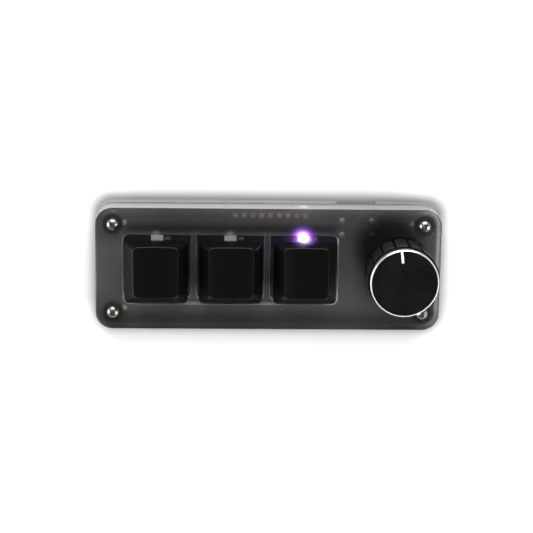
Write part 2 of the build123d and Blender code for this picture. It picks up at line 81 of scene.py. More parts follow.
# ---- sizes that several pieces share
case_corner = 5.0 * MM
sheet_gap = 0.02 * MM
sheet_edge = 0.08 * MM
frame_edge = 0.12 * MM
sheet_smooth_angle = 14
window_corner = 2.0 * MM
window_side = 9.8 * MM
encoder_room = 0.3 * MM
screw_head_radius = 1.75 * MM
screw_hole_radius = 1.2 * MM
standoff_hole_radius = 2.95 * MM
pad_radius = 0.8 * MM
row_pads = 9
acrylic_ior = 1.49
lit_side = "right"

# ---- places read from the frame
deck = high("top_plate").z
plate_low = low("top_plate").z
board_top = high("main_board").z
board_low = low("main_board").z
case_low = low("bottom_plate")
case_high = high("top_plate")
key_places = {side: middle(f"{side}_keycap") for side in SIDES}
knob_axis = middle("knob_cap")
screw_places = corner_spots("top_screws", screw_head_radius)


def lamp_point(height):
    """The middle of the lit lamp, at a height."""
    return Vector((key_places[lit_side].x, middle("key_leds").y, height))


# ---- camera
camera_eye = Vector((-19.3, 130.8, 532.7)) * MM
camera_aim = Vector((-0.55, 0.88, 14.1)) * MM
camera_roll = math.radians(0.889)
camera_sensor = 36
camera_lens = 124.9


def make_camera():
    """Above the keypad and a little behind it, looking down and forwards."""
    data = bpy.data.cameras.new("camera")
    data.sensor_width = camera_sensor
    data.lens = camera_lens
    data.clip_start = 0.01
    data.clip_end = 20
    back = (camera_eye - camera_aim).normalized()
    across = Vector((0, 1, 0)).cross(back).normalized()
    up = back.cross(across)
    right = across * math.cos(camera_roll) + up * math.sin(camera_roll)
    turn = Matrix((right, back.cross(right), back)).transposed().to_4x4()
    camera = link("camera", data)
    camera.matrix_world = Matrix.Translation(camera_eye) @ turn
    bpy.context.scene.camera = camera


# ---- node helpers
class Bench:
    """Holds the node tree that is being made, which the helpers below work on."""

    tree = None


def clear_bench(owner):
    """Puts a material's or a world's own tree on the bench, empty."""
    owner.use_nodes = True
    Bench.tree = owner.node_tree
    Bench.tree.nodes.clear()


def plug(value, socket):
    """Links a value that is a socket, and sets any other value."""
    if isinstance(value, bpy.types.NodeSocket):
        Bench.tree.links.new(value, socket)
    else:
        socket.default_value = value


def put(kind, values=None, **settings):
    """Adds a node with its values and settings."""
    node = Bench.tree.nodes.new(kind)
    for name, value in settings.items():
        setattr(node, name, value)
    for name, value in (values or {}).items():
        plug(value, node.inputs[name])
    return node


def feed(node, **values):
    """Plugs a value into each socket named; an underscore stands for a space."""
    for name, value in values.items():
        plug(value, node.inputs[name.replace("_", " ")])


def calc(operation, *values):
    """A number worked out from others."""
    return put("ShaderNodeMath", dict(enumerate(values)), operation=operation).outputs[0]


def vector_calc(operation, *values):
    """A vector, or a number where the operation measures one."""
    outputs = put("ShaderNodeVectorMath", dict(enumerate(values)), operation=operation).outputs
    return outputs["Value" if operation in ("LENGTH", "DISTANCE") else "Vector"]


def product(first, *others):
    for value in others:
        first = calc("MULTIPLY", first, value)
    return first


def changed(*shares):
    """A factor of 1, changed by the product of the shares."""
    return calc("ADD", 1.0, product(*shares))


def grade(value, from_range, to_range, ease="LINEAR"):
    """The value carried from one range to another, held at its ends."""
    names = ("From Min", "From Max", "To Min", "To Max")
    sockets = {"Value": value, **dict(zip(names, (*from_range, *to_range)))}
    return put("ShaderNodeMapRange", sockets, interpolation_type=ease).outputs["Result"]


def fade(length, range_mm, levels, ease="SMOOTHSTEP"):
    """A level that changes while a length goes through a range in millimetres."""
    return grade(length, [end * MM for end in range_mm], levels, ease)


def ramps(place, *steps):
    """The product of levels that fade along an axis; each step gives the axis, then what fade takes."""
    return product(*[fade(place[axis], *step) for axis, *step in steps])


def paint(value):
    """A colour from a grey level, or from its red, green and blue."""
    return (*value, 1.0) if isinstance(value, tuple) else (value, value, value, 1.0)


def blend(share, *colours):
    """A colour between two; each is a socket, a grey level or red, green and blue."""
    first, second = (value if isinstance(value, bpy.types.NodeSocket) else paint(value) for value in colours)
    return put("ShaderNodeMix", {0: share, 6: first, 7: second}, data_type="RGBA").outputs[2]


def grey_of(level):
    """A grey that changes with a level."""
    return put("ShaderNodeCombineXYZ", dict.fromkeys("XYZ", level)).outputs[0]


def object_point():
    return put("ShaderNodeTexCoord").outputs["Object"]


def axes(vector):
    """The parts X, Y and Z of a vector."""
    return put("ShaderNodeSeparateXYZ", {0: vector}).outputs


# What the named sockets of the trees carry; any other carries a number.
SOCKET_KINDS = {"Geometry": "Geometry", "Piece": "Object", "Finish": "Material",
                **dict.fromkeys(("Axis", "Lamp", "Normal", "Place"), "Vector")}


def new_tree(family, name, inputs, outputs):
    """A node tree with named inputs and outputs; returns its inputs and its end."""
    tree = Bench.tree = bpy.data.node_groups.new(name, f"{family}NodeTree")
    for end, labels in (("INPUT", inputs), ("OUTPUT", outputs)):
        for label in labels.split():
            kind = SOCKET_KINDS.get(label, "Float")
            tree.interface.new_socket(label, in_out=end, socket_type=f"NodeSocket{kind}")
    return put("NodeGroupInput").outputs, put("NodeGroupOutput")


# ---- shared surface effects
def noise_of(point, size, detail):
    """A noise whose features have a size in millimetres."""
    scale = calc("DIVIDE", 1 / MM, size)
    return put("ShaderNodeTexNoise", {"Vector": point, "Scale": scale, "Detail": detail}).outputs[0]


def end_texture(given, result, noise):
    """Puts out a noise as a shade and, Height millimetres deep, as a normal."""
    depth = calc("MULTIPLY", given["Height"], MM)
    bump = put("ShaderNodeBump", {"Height": noise, "Distance": depth, "Strength": 1.0})
    feed(result, Normal=bump.outputs[0], Shade=noise)
    return Bench.tree


def make_grain():
    """Fine all-over texture. Size and Height are in millimetres."""
    given, result = new_tree("Shader", "grain", "Size Height", "Normal Shade")
    return end_texture(given, result, noise_of(object_point(), given["Size"], 3.0))


def make_smudge():
    """Slow change of roughness across a surface, as from handling and moulding."""
    given, result = new_tree("Shader", "smudge", "Size Smooth Rough", "Roughness Shade")
    noise = noise_of(object_point(), given["Size"], 2.0)
    shade = grade(noise, (0.2, 0.8), (0, 1), "SMOOTHSTEP")
    feed(result, Roughness=grade(shade, (0, 1), (given["Smooth"], given["Rough"])), Shade=shade)
    return Bench.tree


def make_turned():
    """Fine rings round an upright axis, as a lathe leaves them. Pitch and Height are in millimetres."""
    given, result = new_tree("Shader", "turned", "Axis Pitch Height", "Normal Shade")
    parts = axes(vector_calc("SUBTRACT", object_point(), given["Axis"]))
    radius = calc("SQRT", calc("ADD", *(calc("POWER", parts[axis], 2.0) for axis in "XY")))
    turns = calc("DIVIDE", calc("DIVIDE", radius, MM), given["Pitch"])
    ripple = put("ShaderNodeTexNoise", {"W": turns, "Scale": 1.0, "Detail": 2.0}, noise_dimensions="1D")
    return end_texture(given, result, ripple.outputs[0])


def make_cut_lines():
    """Upright striations on a cut wall. Pitch and Height are in millimetres."""
    given, result = new_tree("Shader", "cut_lines", "Pitch Height", "Normal Shade")
    flat = vector_calc("MULTIPLY", object_point(), (1, 1, 0.06))
    return end_texture(given, result, noise_of(flat, given["Pitch"], 3.0))


def make_glow():
    """A share that is 1 at a small lamp and fades over Reach millimetres: it sets the lit lens's own
    brightness and the painted glow of the lamp on the pieces round it.
    """
    given, result = new_tree("Shader", "glow", "Lamp Reach", "Share")
    away = vector_calc("DISTANCE", object_point(), given["Lamp"])
    steps = calc("DIVIDE", calc("DIVIDE", away, MM), given["Reach"])
    feed(result, Share=calc("POWER", math.e, product(calc("POWER", steps, 2.0), -1.0)))
    return Bench.tree


EFFECTS = {tree.name: tree for tree in (
    make_grain(), make_smudge(), make_turned(), make_cut_lines(), make_glow())}
# The lit lamp's purple, for its lens, its light and its painted glow; the paler colour is its painted glint
# on the sheets' back walls.
LAMP_COLOUR = (0.42, 0.1, 1.0)
PAINTED_GLINT_COLOUR = (0.8, 0.25, 0.95)


# ---- materials
def new_finish(name, **values):
    """A material with one Principled shader, kept in FINISHES; returns the shader."""
    FINISHES[name] = bpy.data.materials.new(name)
    clear_bench(FINISHES[name])
    shader = put("ShaderNodeBsdfPrincipled")
    feed(shader, **values)
    put("ShaderNodeOutputMaterial", {"Surface": shader.outputs[0]})
    return shader


def effect(name, **values):
    return put("ShaderNodeGroup", values, node_tree=EFFECTS[name]).outputs


def let_light_through(shader, share):
    """Light reaches what lies under a clear sheet: shadow rays pass, dimmed to the share given."""
    clear = put("ShaderNodeBsdfTransparent", {"Color": paint(share)})
    ray = put("ShaderNodeLightPath").outputs["Is Shadow Ray"]
    mix = put("ShaderNodeMixShader", {0: ray, 1: shader.outputs[0], 2: clear.outputs[0]})
    feed(Bench.tree.nodes["Material Output"], Surface=mix.outputs[0])


def add_painted_glow(shader, lamp, reach, colour=LAMP_COLOUR):
    """A painted glow of the lit lamp on a piece near a point: white at the point, then coloured."""
    share = effect("glow", Lamp=lamp, Reach=reach)["Share"]
    hue = blend(calc("POWER", share, 2.0), colour, 1.0)
    feed(shader, Emission_Color=blend(calc("POWER", share, 1.5), 0.0, hue))


def away_from(place, x, y):
    """Distance in plan from an upright line."""
    flat = put("ShaderNodeCombineXYZ", {"X": place["X"], "Y": place["Y"]}).outputs[0]
    return vector_calc("DISTANCE", flat, Vector((x, y, 0)))


def beyond_corner(shift, half):
    """Distance in plan from the middles of the corners of a rounded rectangle with half sizes half."""
    reach = Vector((half.x - case_corner, half.y - case_corner, 0))
    flat = vector_calc("MULTIPLY", object_point(), (1, 1, 0))
    folded = vector_calc("ABSOLUTE", vector_calc("ADD", flat, shift))
    beyond = vector_calc("MAXIMUM", vector_calc("SUBTRACT", folded, reach), (0, 0, 0))
    return vector_calc("LENGTH", beyond)


def painted_band_beside_keys(place, change, front, peak, back):
    """A painted band along the keys in the frost: painted shade where the change is below 0, painted light
    where it is above.
    """
    start = key_places["left"].x / MM - 9
    end = key_places["right"].x / MM + 9
    along = ("X", (start - 2, start + 2), (0, 1)), ("X", (end - 2, end + 2), (1, 0))
    deep = ("Y", (front, peak), (0, 1)), ("Y", (peak, back), (1, 0))
    return changed(change, ramps(place, *along, *deep))


def painted_lamp_light_in_frost(place):
    """Painted light where the pale lamps behind the keys lie under the frost: a soft lighter patch at the
    window's back edge.
    """
    first = key_places["left"].x - 0.2 * MM
    pitch = key_places["middle"].x - key_places["left"].x
    across = calc("WRAP", calc("SUBTRACT", place["X"], first), pitch / 2, -pitch / 2)
    away = away_from({"X": across, "Y": place["Y"]}, 0, 10.2 * MM)
    beside_knob = ramps(place, ("X", (20, 22), (1, 0), "LINEAR"))
    return changed(fade(away, (0.4, 1.6), (2.4, 0.0)), beside_knob)


def painted_light_band_at_end(place):
    """A painted light band inside the plate's edge at the knob's end, where light gathers in the sheet."""
    inset = calc("SUBTRACT", case_corner, beyond_corner((0, 0, 0), case_high))
    band = product(fade(inset, (0.9, 1.9), (2.6, 1.0)), fade(inset, (0.1, 0.5), (0.3, 1.0)))
    band = calc("SUBTRACT", band, 1.0)
    return changed(band, ramps(place, ("X", (42, 48), (0, 1))))


def painted_frost_level(level):
    """How light the frost is. Painted shade and light change it from place to place: painted shade at the
    front and its rim, at the left front corner, behind the window and in a band behind the keys, a painted
    shadow behind and left of the knob, and darker discs over the standoffs below; painted light along the
    back, at the left end, in a band before the keys, over the lamps below, between the right key and the
    knob, and along the knob's end.
    """
    place = axes(object_point())
    folded = {axis: calc("ABSOLUTE", place[axis]) for axis in "XY"}
    painted_light_and_shade_at_edges = ramps(place, ("Y", (-15.5, -10.8), (0.5, 1.0)), ("Y", (15.4, 17.2), (0.86, 1.15)),
                        ("Y", (-17.8, -16.6), (0.35, 1.0)), ("X", (-42, -30), (1.2, 0.92)))
    painted_shade_behind_window = ramps(place, ("Y", (6, 12), (0, 1)), ("X", (-36, -6), (-0.32, -0.13), "LINEAR"))
    painted_shade_at_front_corner = ramps(place, ("X", (-42, -39), (1, 0)), ("Y", (-10, -4), (-0.32, 0.0)))
    knob_shadow_distance = away_from(place, knob_axis.x - 3.2 * MM, knob_axis.y + 6.7 * MM)
    before_knob_light_distance = away_from(place, key_places["right"].x + 12.0 * MM, 0.0)
    standoff_shade_distance = away_from(folded, *max(screw_places))
    return product(
        level,
        painted_light_and_shade_at_edges,
        changed(painted_shade_behind_window),
        changed(painted_shade_at_front_corner),
        painted_band_beside_keys(place, -0.64, 10.8, 11.5, 14.6),
        painted_band_beside_keys(place, 0.3, -14.8, -10.6, -5.8),
        painted_lamp_light_in_frost(place),
        fade(knob_shadow_distance, (6.5, 13.4), (0.1, 1.0)),
        fade(before_knob_light_distance, (3.0, 12.0), (1.45, 1.0)),
        fade(standoff_shade_distance, (2.8, 3.3), (0.5, 1.0)),
        painted_light_band_at_end(place),
    )


def frosted_face():
    """Top sheet: smoked acrylic with a fine frost that blurs what lies below; its colour carries painted
    shade and light, and a painted glow round the lit lamp.
    """
    shader = new_finish("frosted_acrylic", Transmission_Weight=0.93, IOR=acrylic_ior, Emission_Strength=5.0)
    grain = effect("grain", Size=0.09, Height=0.003)
    smudge = effect("smudge", Size=26.0, Smooth=0.23, Rough=0.28)
    level = painted_frost_level(grade(smudge["Shade"], (0, 1), (0.42, 0.48)))
    feed(shader, Base_Color=grey_of(level), Roughness=smudge["Roughness"], Normal=grain["Normal"])
    add_painted_glow(shader, lamp_point(deck) + Vector((-0.7 * MM, 1.3 * MM, 0)), 2.3)
    let_light_through(shader, 0.72)


def clear_face():
    """Inner sheets: polished clear acrylic."""
    shader = new_finish("clear_acrylic", Transmission_Weight=0.97, IOR=acrylic_ior)
    smudge = effect("smudge", Size=14.0, Smooth=0.02, Rough=0.07)
    feed(shader, Base_Color=blend(smudge["Shade"], 0.86, 0.92), Roughness=smudge["Roughness"])
    let_light_through(shader, 0.9)


def painted_shade_on_back(place):
    """Painted shade: the outer back walls are darker towards the knob's end."""
    return changed(ramps(place, ("Y", (16.5, 17.9), (0, 1), "LINEAR"), ("X", (8, 40), (0, -0.32), "LINEAR")))


def painted_shade_in_window(place):
    """Painted shade and light on the window walls: a window's back wall is darker than its other walls, and
    the wall towards the knob is lightest.
    """
    return ramps(place, ("Y", (9.0, 9.8), (1.0, 0.08), "LINEAR"), ("X", (15, 19.5), (0.5, 1.0), "LINEAR"))


def cut_edge(name, brightness, spread, lamp, reach, shade, colour=LAMP_COLOUR):
    """The laser-cut wall of a sheet: milky and finely striated, darkened by a painted shade and lit by a
    painted glow of the lamp near a point.
    """
    shader = new_finish(name, Transmission_Weight=spread, IOR=acrylic_ior, Emission_Strength=0.35)
    lines = effect("cut_lines", Pitch=0.3, Height=0.012)
    base = blend(shade(axes(object_point())), 0.0, blend(lines["Shade"], brightness * 0.8, brightness))
    rough = grade(lines["Shade"], (0.3, 0.7), (0.28, 0.42))
    feed(shader, Base_Color=base, Roughness=rough, Normal=lines["Normal"])
    add_painted_glow(shader, lamp, reach, colour)
    let_light_through(shader, 0.7)


def solder_mask():
    """Black lacquer on the board's faces, pale laminate on its cut edges, with a painted glow of the lit lamp
    round it.
    """
    shader = new_finish("circuit_board", Specular_IOR_Level=0.3, IOR=1.5, Emission_Strength=1.5)
    lacquer_depth = 0.01 * MM
    height = axes(object_point())["Z"]
    depth = calc("ABSOLUTE", calc("SUBTRACT", height, (board_top + board_low) / 2))
    edge = calc("LESS_THAN", depth, (board_top - board_low) / 2 - lacquer_depth)
    grain = effect("grain", Size=0.25, Height=0.006)
    weave = blend(grain["Shade"], (0.6, 0.56, 0.45), (0.72, 0.68, 0.56))
    lacquer = blend(grain["Shade"], 0.03, 0.042)
    rough = grade(edge, (0, 1), (0.36, 0.75))
    feed(shader, Base_Color=blend(edge, lacquer, weave), Roughness=rough, Normal=grain["Normal"])
    add_painted_glow(shader, lamp_point(board_top), 2.6)


def lay(shader, texture, first, second, smudge_size, smooth, rough):
    """A texture in two close colours, with smudges that change its gloss."""
    colour = blend(texture["Shade"], first, second)
    smudge = effect("smudge", Size=smudge_size, Smooth=smooth, Rough=rough)
    feed(shader, Base_Color=colour, Roughness=smudge["Roughness"], Normal=texture["Normal"])


def plain_finish(name, first, second, grain_size, grain_height, smooth, rough, glow_reach=0.0, **values):
    """Moulded and plated surfaces with a fine grain; those given a reach carry a painted glow of the lit
    lamp.
    """
    shader = new_finish(name, **values)
    grain = effect("grain", Size=grain_size, Height=grain_height)
    lay(shader, grain, first, second, max(2.0, grain_size * 20), smooth, rough)
    if glow_reach:
        add_painted_glow(shader, lamp_point(board_top), glow_reach)


def turned_finish(name, first, second, pitch, height, smooth, rough, metal=1.0):
    """Spun metal: rings round the knob's axis."""
    shader = new_finish(name, Metallic=metal)
    rings = effect("turned", Axis=knob_axis, Pitch=pitch, Height=height)
    lay(shader, rings, first, second, 6.0, smooth, rough)


def keycap_finish():
    """Black moulded plastic with a painted sheen: its top, its left wall and most of all its back edge have
    more coat, set by which way each face looks.

    The lit lamp's light is painted as a glow on the back of the cap before it.
    """
    shader = new_finish(
        "keycap_plastic", IOR=1.4, Specular_IOR_Level=0.02, Coat_Roughness=0.22, Emission_Strength=0.4
    )
    # A painted sheen and highlight: the coat is set by which way each face looks.
    normal = axes(put("ShaderNodeNewGeometry").outputs["Normal"])
    facing = calc("MAXIMUM", normal["Z"], product(normal["X"], -1.0))
    sheen = grade(facing, (0.35, 0.85), (0.0, 0.2))
    painted_back_edge_highlight = grade(product(normal["Y"], normal["Z"]), (0.15, 0.45), (0.0, 0.5))
    painted_left_wall_sheen = grade(normal["X"], (-0.85, -0.4), (0.07, 0.0))
    feed(shader, Coat_Weight=calc("ADD", calc("ADD", sheen, painted_back_edge_highlight), painted_left_wall_sheen))
    lay(shader, effect("grain", Size=0.14, Height=0.0025), 0.003, 0.0042, 2.8, 0.2, 0.24)
    above_skirt = 1.0 * MM
    cap_low, cap_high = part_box(f"{lit_side}_keycap")
    add_painted_glow(shader, Vector((key_places[lit_side].x, cap_high.y, cap_low.z + above_skirt)), 2.4)


def lit_lens():
    """The face of the lit lamp, brightest at its middle."""
    shader = new_finish("lit_lens", Roughness=0.3, Emission_Strength=14.0)
    glow = effect("glow", Lamp=lamp_point(board_top), Reach=1.8)
    light = blend(glow["Share"], LAMP_COLOUR, 1.0)
    feed(shader, Emission_Color=light, Base_Color=light)


def floor_finish():
    """Matt pale board with a painted shadow close round the keypad; from a few millimetres out it gives off a
    little light of its own, and far away it is lit from below, to stay even.
    """
    shader = new_finish("pale_floor", Emission_Strength=1.0)
    shade_half = Vector((case_high.x + 1.0 * MM, case_high.y + 1.8 * MM, 0))
    gap = calc("SUBTRACT", beyond_corner((-0.6 * MM, 1.6 * MM, 0), shade_half), case_corner)
    # A painted shadow: the board darkens towards the keypad's outline.
    near = fade(gap, (-1.5, 3.2), (0.3, 1.0))
    away = vector_calc("LENGTH", object_point())
    far_light = grade(away, (0.25, 0.9), (0.0, 0.6), "SMOOTHSTEP")
    near_light = fade(gap, (2.5, 5.0), (0.0, 0.1), "LINEAR")
    light = grey_of(calc("ADD", far_light, near_light))
    smudge = effect("smudge", Size=60.0, Smooth=0.75, Rough=0.85)
    base = blend(near, 0.0, blend(smudge["Shade"], 0.93, 0.95))
    feed(shader, Emission_Color=light, Base_Color=base, Roughness=smudge["Roughness"])


FINISHES = {}
# Where the lamp's painted glint sits on the sheets' back walls.
painted_glint_point = Vector((key_places[lit_side].x - 0.4 * MM, case_high.y, plate_low))
frosted_face()
clear_face()
solder_mask()
keycap_finish()
lit_lens()
floor_finish()
# Cut walls: the outer back walls carry painted shade towards the knob's end and the lamp's painted glint; the
# window walls are the same cut edge set lighter, with painted shade and light and a painted glow round the
# lit lamp.
cut_edge("frosted_cut_edge", 0.52, 0.55, painted_glint_point, 1.8, painted_shade_on_back, PAINTED_GLINT_COLOUR)
cut_edge("clear_cut_edge", 0.46, 0.6, painted_glint_point, 1.8, painted_shade_on_back, PAINTED_GLINT_COLOUR)
cut_edge("window_cut_edge", 1.0, 0.6, lamp_point(board_top), 4.0, painted_shade_in_window)
cut_edge("frosted_window_cut_edge", 0.8, 0.15, lamp_point(deck), 3.0, painted_shade_in_window)
turned_finish("anodised_face", 0.03, 0.06, 0.12, 0.004, 0.28, 0.36)
turned_finish("anodised_side", 0.08, 0.12, 0.3, 0.004, 0.4, 0.5, metal=0.3)
turned_finish("cut_bevel", 0.8, 0.88, 0.1, 0.0002, 0.3, 0.36)

plated = {"Metallic": 1.0}
tinned = {"Metallic": 0.1}
# A painted glow that lightens the unlit lamps' bodies and lenses.
painted_pale_glow = {"Emission_Color": paint((1.0, 0.9, 0.82)), "Emission_Strength": 0.09}
# A painted glint on the solder of the corner pads and the receptacle's legs.
painted_solder_glint = {"Emission_Color": paint((1.0, 0.78, 0.6)), "Emission_Strength": 0.45}
# Each row: name, two colours, size and height of the grain in millimetres, least and most roughness.
for *look, values in (
    # The switch housings carry a painted glow of the lit lamp.
    ("switch_housing", 0.008, 0.014, 0.2, 0.01, 0.35, 0.5, {"Emission_Strength": 1.0, "glow_reach": 3.0}),
    ("stem_plastic", (0.2, 0.08, 0.03), (0.26, 0.11, 0.05), 0.3, 0.006, 0.3, 0.4, {}),
    ("black_nylon", 0.003, 0.006, 0.3, 0.01, 0.5, 0.6, {"Specular_IOR_Level": 0.2}),
    ("nickel_plate", (0.34, 0.295, 0.265), (0.45, 0.405, 0.375), 0.3, 0.004, 0.16, 0.24, plated),
    ("plated_sheet", (0.55, 0.55, 0.53), (0.66, 0.66, 0.64), 0.25, 0.004, 0.25, 0.4, plated),
    ("gold_plate", (0.85, 0.6, 0.25), (0.95, 0.72, 0.34), 0.3, 0.004, 0.2, 0.35, plated),
    ("solder", (0.9, 0.62, 0.42), (1.0, 0.76, 0.56), 0.35, 0.006, 0.5, 0.6, tinned),
    # Solder with a painted glint, for the corner pads and the receptacle's legs.
    ("bright_solder", (0.95, 0.78, 0.62), (1.0, 0.86, 0.72), 0.35, 0.006, 0.5, 0.6, tinned | painted_solder_glint),
    ("chip_resin", 0.012, 0.022, 0.12, 0.01, 0.5, 0.65, {}),
    ("chip_ceramic", (0.17, 0.15, 0.12), (0.24, 0.21, 0.17), 0.2, 0.006, 0.4, 0.5, {}),
    # The pale lamps carry a painted glow.
    ("led_body", (0.72, 0.65, 0.58), (0.8, 0.73, 0.66), 0.2, 0.004, 0.4, 0.5, painted_pale_glow),
    ("led_lens", (0.72, 0.65, 0.58), (0.8, 0.73, 0.66), 0.5, 0.002, 0.3, 0.4, painted_pale_glow),
    ("foot_rubber", 0.018, 0.03, 0.15, 0.02, 0.7, 0.85, {}),
    ("knob_plastic", 0.006, 0.01, 0.2, 0.006, 0.3, 0.42, {"IOR": 1.5, "Specular_IOR_Level": 0.45}),
    # The knob's drum: its black plastic set darker and duller, which paints shade into the grooves between
    # the panels.
    ("knob_core", 0.001, 0.002, 0.2, 0.004, 0.6, 0.7, {"IOR": 1.4, "Specular_IOR_Level": 0.05}),
    ("pointer_paint", 0.8, 0.86, 0.2, 0.004, 0.35, 0.45, {}),
    ("insulator", 0.012, 0.02, 0.2, 0.008, 0.4, 0.5, {}),
):
    plain_finish(*look, **values)


# ---- mesh helpers
def mesh_of(name, work):
    """The plain mesh of a finished bmesh."""
    mesh = bpy.data.meshes.new(name)
    work.to_mesh(mesh)
    work.free()
    return mesh


def settle_mesh(mesh, smooth_angle=35):
    """Merges doubles, turns the faces outwards and keeps only real corners sharp."""
    work = bmesh.new()
    work.from_mesh(mesh)
    bmesh.ops.remove_doubles(work, verts=work.verts, dist=0.001 * MM)
    bmesh.ops.recalc_face_normals(work, faces=work.faces)
    work.to_mesh(mesh)
    work.free()
    for face in mesh.polygons:
        face.use_smooth = True
    mesh.set_sharp_from_angle(angle=math.radians(smooth_angle))
    return mesh


def plain_copy(piece, name):
    """The evaluated piece as a plain mesh of its own; the piece it came from is removed."""
    bpy.context.view_layer.update()
    graph = bpy.context.evaluated_depsgraph_get()
    mesh = bpy.data.meshes.new_from_object(piece.evaluated_get(graph), depsgraph=graph)
    mesh.name = name
    bpy.data.objects.remove(piece)
    return mesh


def join(name, meshes):
    """Several meshes as one; each keeps its materials."""
    parts = [link(f"{name}_{number}", mesh) for number, mesh in enumerate(meshes)]
    with bpy.context.temp_override(active_object=parts[0], selected_editable_objects=parts):
        bpy.ops.object.join()
    mesh = parts[0].data
    bpy.data.objects.remove(parts[0])
    mesh.name = name
    return mesh


def ring_mesh(name, rings, closed=False, loop=False):
    """A skin through rings of as many points each; its ends are closed, or its last ring meets its first."""
    work = bmesh.new()
    rows = [[work.verts.new(point) for point in ring] for ring in rings]
    for one, two in zip(rows, rows[1:] + rows[:1] if loop else rows[1:]):
        for a, b, c, d in zip(one, one[1:] + one[:1], two[1:] + two[:1], two):
            work.faces.new((a, b, c, d))
    if closed:
        work.faces.new(rows[0][::-1])
        work.faces.new(rows[-1])
    return mesh_of(name, work)


def circle(radius, x=0.0, y=0.0, count=48):
    turn = 2 * math.pi / count
    return [(x + radius * math.cos(turn * k), y + radius * math.sin(turn * k)) for k in range(count)]


def cross(a, b, x=0.0, y=0.0):
    """A cross's outline, anticlockwise, from the half length and half width of its arms."""
    quarter = ((a, -b), (a, b), (b, b))
    turns = ((1, 0), (0, 1), (-1, 0), (0, -1))
    return [(x + c * px - s * py, y + s * px + c * py) for c, s in turns for px, py in quarter]


def rounded(x_low, x_high, y_low, y_high, corner, steps=8, side_steps=1):
    """A rectangle's outline with round corners, anticlockwise; its straight sides are cut into side_steps."""
    arcs = []
    left, right, front, back = x_low + corner, x_high - corner, y_low + corner, y_high - corner
    for number, (x, y) in enumerate(((right, back), (left, back), (left, front), (right, front))):
        angles = [math.radians(90 * (number + step / steps)) for step in range(steps + 1)]
        arcs.append([(x + corner * math.cos(angle), y + corner * math.sin(angle)) for angle in angles])
    points = []
    for arc, next_arc in zip(arcs, arcs[1:] + arcs[:1]):
        start, end = Vector(arc[-1]), Vector(next_arc[0])
        points += arc + [tuple(start.lerp(end, step / side_steps)) for step in range(1, side_steps)]
    return points


def block(x, y, half_x, half_y, corner, steps=8):
    """A rounded rectangle's outline round its middle."""
    return rounded(x - half_x, x + half_x, y - half_y, y + half_y, corner, steps)


def turned(name, profile, x=0.0, y=0.0, count=64):
    """A solid of revolution from a closed profile of (radius, z) points; a radius of 0 is a pole."""
    pole = 1e-7
    rings = [[(px, py, z) for px, py in circle(max(radius, pole), x, y, count)] for radius, z in profile]
    return settle_mesh(ring_mesh(name, rings, loop=profile[0][0] > 0))


def softened_node(node, edge):
    """A copy of a node's mesh, merged, with its sharp edges rounded."""
    piece = link(f"{node}_copy", settle_mesh(nodes[node].data.copy()))
    rounding = piece.modifiers.new("edges", "BEVEL")
    rounding.width = edge
    rounding.segments = 2
    rounding.limit_method = "ANGLE"
    rounding.angle_limit = math.radians(40)
    rounding.harden_normals = False
    return settle_mesh(plain_copy(piece, f"{node}_soft"), sheet_smooth_angle)


def sheet(name, outline, holes, z_low, z_high, edge, *finishes, polished=()):
    """A plate of any outline with round edges.

    Its finishes are those of its faces, its outer walls and, where given, its holes' walls. The
    walls of the holes listed in polished, as (x, y, radius), keep the finish of the faces.
    """
    curve = bpy.data.curves.new(name, "CURVE")
    curve.dimensions = "2D"
    curve.fill_mode = "BOTH"
    curve.extrude = (z_high - z_low) / 2 - edge
    curve.bevel_depth = edge
    curve.bevel_resolution = 2
    curve.offset = -edge
    for points in [outline, *holes]:
        spline = curve.splines.new("POLY")
        spline.points.add(len(points) - 1)
        for point, (x, y) in zip(spline.points, points):
            point.co = (x, y, 0, 1)
        spline.use_cyclic_u = True
    mesh = plain_copy(link(name, curve), name)
    mesh.transform(Matrix.Translation((0, 0, (z_low + z_high) / 2)))
    settle_mesh(mesh, sheet_smooth_angle)
    finish_walls(mesh, outline, finishes, polished)
    return mesh


def finish_walls(mesh, outline, finishes, polished=()):
    """One finish on a plate's faces, one on its outer walls and one on the walls of its holes."""
    flat = 0.98
    wall_depth = 0.3 * MM
    mesh.materials.clear()
    for finish in finishes:
        mesh.materials.append(FINISHES[finish])
    corners = [Vector(point) for point in outline]
    sides = list(zip(corners, corners[1:] + corners[:1]))
    for face in mesh.polygons:
        wall = abs(face.normal.z) < flat
        inner = wall and min(gap_to_side(face.center.xy, *side) for side in sides) > wall_depth
        bare = any((face.center.xy - Vector((x, y))).length < reach for x, y, reach in polished)
        face.material_index = 0 if bare else min(int(wall) + int(inner), len(finishes) - 1)


def gap_to_side(point, start, end):
    """How far a point lies from a straight side."""
    along = end - start
    share = max(0.0, min(1.0, (point - start).dot(along) / max(along.length_squared, 1e-18)))
    return (point - start - along * share).length


def cover(mesh, finish):
    """One finish on the whole mesh."""
    mesh.materials.clear()
    mesh.materials.append(FINISHES[finish])


def finish_piece(name, mesh, body, slot, *replaced):
    """A finished mesh becomes a piece, with the body it rides on and the nodes it stands for; slot is not
    used.
    """
    piece = link(name, mesh)
    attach(piece, body)
    if replaced:
        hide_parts(*replaced)
    return piece


# ---- geometry node trees
def end_tree(node, given, output):
    """Makes what a node puts out real, in the given finish."""
    real = put("GeometryNodeRealizeInstances", {"Geometry": node.outputs[0]})
    painted = put("GeometryNodeSetMaterial", {"Geometry": real.outputs[0], "Material": given["Finish"]})
    feed(output, Geometry=painted.outputs[0])
    return Bench.tree


